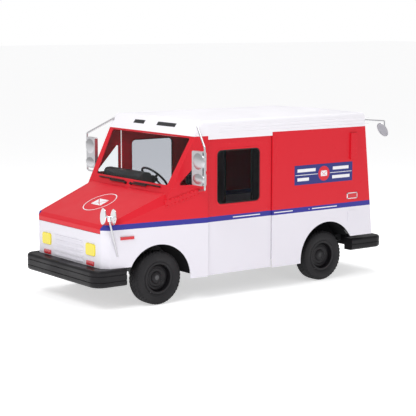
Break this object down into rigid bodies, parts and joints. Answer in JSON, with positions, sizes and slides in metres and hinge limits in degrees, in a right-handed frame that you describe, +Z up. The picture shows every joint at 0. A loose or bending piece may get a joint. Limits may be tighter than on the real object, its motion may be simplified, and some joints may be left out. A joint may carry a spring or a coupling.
{
  "type": "mail delivery truck",
  "caption": "Boxy right-hand-drive mail delivery truck with sliding side doors, roll-up rear door, opening hood, steering front wheels and arm-mounted mirrors.",
  "frame": {"origin": "on the ground, on the centre plane, half way along the overall length, bumpers included", "axes": "+Z up, front of the truck faces -Y, +X is the vehicle's left side"},
  "size_m": [2.62, 4.458, 2.159],
  "materials": {
    "red_paint": "gloss paint over aluminium sheet",
    "white_paint": "gloss paint over aluminium sheet",
    "frame_black": "satin black paint over steel",
    "cast_iron": "rough casting",
    "alloy_casting": "rough casting",
    "bare_aluminium": "bare metal",
    "bright_steel": "machined steel",
    "chrome": "polished",
    "bumper_rubber": "satin, moulded",
    "tyre": "moulded tread",
    "wheel_black": "satin black paint over steel",
    "glass": "clear, slightly tinted",
    "mirror_glass": "silvered",
    "lamp_yellow": "moulded lens",
    "lamp_red": "moulded lens",
    "dark_plastic": "grained",
    "liner_black": "moulded sheet",
    "floor_grey": "painted sheet",
    "seat_cover": "woven cover over foam"
  },
  "bodies": {
    "body": {"chassis_frame": "frame_black", "rear_axle_housing": "frame_black", "suspension": "frame_black", "engine": "alloy_casting", "fuel_tank": "dark_plastic", "exhaust": "bare_aluminium", "floor_pan": "floor_grey", "arch_liners": "liner_black", "nose_panel": "white_paint", "headlamps": "lamp_yellow", "signal_lamps": "lamp_red", "fender_left": "red_paint", "fender_right": "red_paint", "cab_frame": "red_paint", "fixed_glass": "glass", "roof": "white_paint", "door_tracks": "white_paint", "cargo_side_left": "red_paint", "cargo_side_right": "red_paint", "rear_frame": "white_paint", "front_bumper": "bumper_rubber", "rear_bumper": "bumper_rubber", "bulkhead": "floor_grey", "dashboard": "dark_plastic", "steering_column": "dark_plastic", "mail_tray": "dark_plastic", "mirror_arms": "bright_steel"},
    "hood": {"hood": "red_paint"},
    "left_door": {"side_door_left": "red_paint", "door_glass_left": "glass"},
    "right_door": {"side_door_right": "red_paint", "door_glass_right": "glass"},
    "rear_door": {"rear_door_rail": "white_paint", "rear_door_curtain": "white_paint"},
    "rear_drum": {"rear_door_drum": "bare_aluminium"},
    "rear_handle": {"rear_door_handle": "chrome"},
    "left_wiper": {"wiper_left": "dark_plastic"},
    "right_wiper": {"wiper_right": "dark_plastic"},
    "left_mirror": {"mirror_head_left": "bright_steel"},
    "right_mirror": {"mirror_head_right": "bright_steel"},
    "rear_mirror": {"mirror_head_rear": "bright_steel"},
    "crossover_mirror": {"crossover_mirrors": "chrome"},
    "left_knuckle": {"knuckle_left": "cast_iron"},
    "right_knuckle": {"knuckle_right": "cast_iron"},
    "front_left_wheel": {"wheel_front_left": "wheel_black", "tyre_front_left": "tyre"},
    "front_right_wheel": {"wheel_front_right": "wheel_black", "tyre_front_right": "tyre"},
    "rear_left_wheel": {"wheel_rear_left": "wheel_black", "tyre_rear_left": "tyre"},
    "rear_right_wheel": {"wheel_rear_right": "wheel_black", "tyre_rear_right": "tyre"},
    "propshaft": {"propshaft": "bright_steel"},
    "steering_wheel": {"steering_wheel": "dark_plastic"},
    "seat": {"seat_frame": "frame_black", "seat_cushion": "seat_cover", "seat_back": "seat_cover"},
    "brake": {"brake_pedal": "frame_black"},
    "accelerator": {"accelerator_pedal": "frame_black"},
    "fuel_flap": {"fuel_flap": "red_paint"}
  },
  "joints": [
    {"name": "rear_left_wheel_spin", "type": "hinge", "parent": "body", "child": "rear_left_wheel", "pos_m": [0.765, 1.192, 0.32], "axis": [1, 0, 0], "continuous": true},
    {"name": "rear_right_wheel_spin", "type": "hinge", "parent": "body", "child": "rear_right_wheel", "pos_m": [-0.765, 1.192, 0.32], "axis": [1, 0, 0], "continuous": true},
    {"name": "propshaft_spin", "type": "hinge", "parent": "body", "child": "propshaft", "pos_m": [0, -0.874, 0.4], "axis": [0, 0.9993, -0.037], "continuous": true},
    {"name": "left_steer", "type": "hinge", "parent": "body", "child": "left_knuckle", "pos_m": [0.65, -1.361, 0.32], "axis": [0, 0, 1], "range_deg": [-30, 30]},
    {"name": "right_steer", "type": "hinge", "parent": "body", "child": "right_knuckle", "pos_m": [-0.65, -1.361, 0.32], "axis": [0, 0, 1], "range_deg": [-30, 30]},
    {"name": "steering_wheel_turn", "type": "hinge", "parent": "body", "child": "steering_wheel", "pos_m": [-0.34, -0.6, 1.34], "axis": [0, 0.7071, 0.7071], "range_deg": [-480.1, 480.1]},
    {"name": "front_left_wheel_spin", "type": "hinge", "parent": "left_knuckle", "child": "front_left_wheel", "pos_m": [0.765, -1.361, 0.32], "axis": [1, 0, 0], "continuous": true},
    {"name": "front_right_wheel_spin", "type": "hinge", "parent": "right_knuckle", "child": "front_right_wheel", "pos_m": [-0.765, -1.361, 0.32], "axis": [1, 0, 0], "continuous": true},
    {"name": "hood_hinge", "type": "hinge", "parent": "body", "child": "hood", "pos_m": [0, -1.243, 1.306], "axis": [-1, 0, 0], "range_deg": [0, 60]},
    {"name": "left_door_slide", "type": "slide", "parent": "body", "child": "left_door", "axis": [0, 1, 0], "range_m": [0, 0.85]},
    {"name": "right_door_slide", "type": "slide", "parent": "body", "child": "right_door", "axis": [0, 1, 0], "range_m": [0, 0.85]},
    {"name": "rear_door_slide", "type": "slide", "parent": "body", "child": "rear_door", "axis": [0, -0.1015, 0.9948], "range_m": [0, 1.08], "deforming": ["rear_door_curtain"]},
    {"name": "rear_drum_spin", "type": "hinge", "parent": "body", "child": "rear_drum", "pos_m": [0, 1.665, 1.892], "axis": [1, 0, 0], "range_deg": [0, 1067.5]},
    {"name": "rear_handle_turn", "type": "hinge", "parent": "rear_door", "child": "rear_handle", "pos_m": [0, 1.9466, 0.6858], "axis": [0, 0.9948, 0.1015], "range_deg": [0, 90]},
    {"name": "left_wiper_sweep", "type": "hinge", "parent": "body", "child": "left_wiper", "pos_m": [0.062, -1.2162, 1.35], "axis": [0, -0.8838, 0.4679], "range_deg": [0, 85]},
    {"name": "right_wiper_sweep", "type": "hinge", "parent": "body", "child": "right_wiper", "pos_m": [-0.062, -1.2162, 1.35], "axis": [0, -0.8838, 0.4679], "range_deg": [-85, 0]},
    {"name": "left_mirror_turn", "type": "hinge", "parent": "body", "child": "left_mirror", "pos_m": [1.29, -1.015, 1.6], "axis": [0, 0, 1], "range_deg": [-20, 20]},
    {"name": "right_mirror_turn", "type": "hinge", "parent": "body", "child": "right_mirror", "pos_m": [-1.29, -1.015, 1.6], "axis": [0, 0, 1], "range_deg": [-20, 20]},
    {"name": "rear_mirror_tilt", "type": "hinge", "parent": "body", "child": "rear_mirror", "pos_m": [0.9474, 2.164, 1.9207], "axis": [1, 0, 0], "range_deg": [-15, 15]},
    {"name": "crossover_mirror_turn", "type": "hinge", "parent": "body", "child": "crossover_mirror", "pos_m": [0.838, -2.04, 1.098], "axis": [0.0754, -0.2758, 0.9582], "range_deg": [-15, 15]},
    {"name": "fuel_flap_hinge", "type": "hinge", "parent": "body", "child": "fuel_flap", "pos_m": [0.958, 1.535, 0.81], "axis": [0, 0, -1], "range_deg": [0, 100]},
    {"name": "seat_slide", "type": "slide", "parent": "body", "child": "seat", "axis": [0, 1, 0], "range_m": [-0.08, 0.1]},
    {"name": "brake_pedal_press", "type": "hinge", "parent": "body", "child": "brake", "pos_m": [-0.27, -1.12, 1.01], "axis": [-1, 0, 0], "range_deg": [0, 12], "stiffness_Nm_per_rad": 60, "springref_deg": -6.88},
    {"name": "accelerator_press", "type": "hinge", "parent": "body", "child": "accelerator", "pos_m": [-0.415, -1.12, 1.01], "axis": [-1, 0, 0], "range_deg": [0, 12], "stiffness_Nm_per_rad": 30, "springref_deg": -6.88}
  ],
  "couplings": [
    {"joint": "rear_right_wheel_spin", "follows": "rear_left_wheel_spin", "ratio": 1},
    {"joint": "propshaft_spin", "follows": "rear_left_wheel_spin", "ratio": 3.73},
    {"joint": "right_steer", "follows": "left_steer", "ratio": 1},
    {"joint": "steering_wheel_turn", "follows": "left_steer", "ratio": 16},
    {"joint": "rear_drum_spin", "follows": "rear_door_slide", "rad_per_m": 17.241},
    {"joint": "right_wiper_sweep", "follows": "left_wiper_sweep", "ratio": -1}
  ]
}
